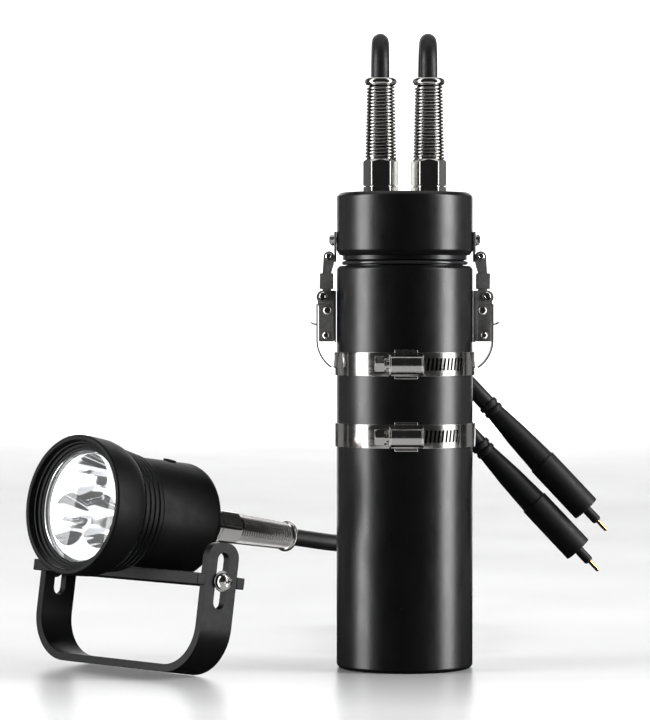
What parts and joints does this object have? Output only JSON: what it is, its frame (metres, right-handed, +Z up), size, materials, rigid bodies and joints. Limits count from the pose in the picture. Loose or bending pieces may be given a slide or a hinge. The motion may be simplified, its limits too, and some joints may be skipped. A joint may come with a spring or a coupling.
{
  "type": "diving light set",
  "caption": "Underwater light set: round battery canister with latched lid and clamps, a three-cup light head on a square hand strap, and rubber leads with plugs.",
  "frame": {"origin": "centre of the canister's flat base, on the surface it stands on", "axes": "+Z up along the canister, -Y the side with the clamp screws that faces the viewer, -X towards the light head"},
  "size_m": [0.3008, 0.2887, 0.3272],
  "materials": {
    "anodised": "satin",
    "steel": "polished",
    "latch_steel": "satin",
    "rubber": "matte",
    "sleeve": "satin",
    "board": "matte",
    "glass": "polished",
    "reflector": "mirror coated",
    "led": "gloss",
    "copper": "satin",
    "strap": "satin",
    "brass": "polished"
  },
  "bodies": {
    "set": {"canister_tube": "anodised", "canister_lid": "anodised", "lid_seal": "rubber", "battery_pack": "sleeve", "protection_board": "board", "head_body": "anodised", "bezel": "anodised", "front_glass": "glass", "glass_seal": "rubber", "reflector": "reflector", "led_top": "led", "led_left": "led", "led_right": "led", "led_board": "board", "heat_sink_plate": "copper", "driver_board": "board", "head_gland": "steel", "head_bend_guard": "steel", "mount_plate": "strap", "plate_screw_front": "steel", "plate_screw_rear": "steel", "strap_screw_left": "steel", "strap_screw_right": "steel", "strap_washer_left": "rubber", "strap_washer_right": "rubber", "head_lead": "rubber", "head_lead_hank": "rubber", "head_lead_socket": "rubber", "lid_gland_left": "steel", "lid_bend_guard_left": "steel", "latch_left_keeper": "latch_steel", "latch_left_base": "latch_steel", "latch_left_keeper_screw": "steel", "left_lead": "rubber", "left_lead_plug": "rubber", "left_lead_pin": "brass", "lid_gland_right": "steel", "lid_bend_guard_right": "steel", "latch_right_keeper": "latch_steel", "latch_right_base": "latch_steel", "latch_right_keeper_screw": "steel", "right_lead": "rubber", "right_lead_plug": "rubber", "right_lead_pin": "brass", "clamp_lower_band": "steel", "clamp_lower_housing": "steel", "clamp_upper_band": "steel", "clamp_upper_housing": "steel"},
    "hand_strap": {"hand_strap": "strap"},
    "latch_lever_left": {"latch_left_lever": "latch_steel", "latch_left_link_pin": "steel", "latch_left_lever_rivet": "steel"},
    "latch_link_left": {"latch_left_link": "latch_steel"},
    "latch_lever_right": {"latch_right_lever": "latch_steel", "latch_right_link_pin": "steel", "latch_right_lever_rivet": "steel"},
    "latch_link_right": {"latch_right_link": "latch_steel"},
    "worm_screw_lower": {"clamp_lower_screw": "steel"},
    "worm_screw_upper": {"clamp_upper_screw": "steel"}
  },
  "joints": [
    {"name": "strap_slide", "type": "slide", "parent": "set", "child": "hand_strap", "axis": [0.1084, 0.108, 0.9882], "range_m": [-0.012, 0.0118]},
    {"name": "lever_left_hinge", "type": "hinge", "parent": "set", "child": "latch_lever_left", "pos_m": [-0.0419, 0, 0.1909], "axis": [0, 1, 0], "range_deg": [0, 100]},
    {"name": "link_left_hinge", "type": "hinge", "parent": "latch_lever_left", "child": "latch_link_left", "pos_m": [-0.0398, 0, 0.1837], "axis": [0, 1, 0], "range_deg": [-115, 0]},
    {"name": "lever_right_hinge", "type": "hinge", "parent": "set", "child": "latch_lever_right", "pos_m": [0.0419, 0, 0.1909], "axis": [0, -1, 0], "range_deg": [0, 100]},
    {"name": "link_right_hinge", "type": "hinge", "parent": "latch_lever_right", "child": "latch_link_right", "pos_m": [0.0398, 0, 0.1837], "axis": [0, -1, 0], "range_deg": [-115, 0]},
    {"name": "worm_lower_turn", "type": "hinge", "parent": "set", "child": "worm_screw_lower", "pos_m": [-0.0001, -0.0409, 0.12], "axis": [1, 0, 0], "continuous": true},
    {"name": "worm_upper_turn", "type": "hinge", "parent": "set", "child": "worm_screw_upper", "pos_m": [-0.0001, -0.0409, 0.1565], "axis": [1, 0, 0], "continuous": true}
  ],
  "couplings": [
    {"joint": "link_left_hinge", "follows": "lever_left_hinge", "ratio": -1.15},
    {"joint": "link_right_hinge", "follows": "lever_right_hinge", "ratio": -1.15}
  ]
}
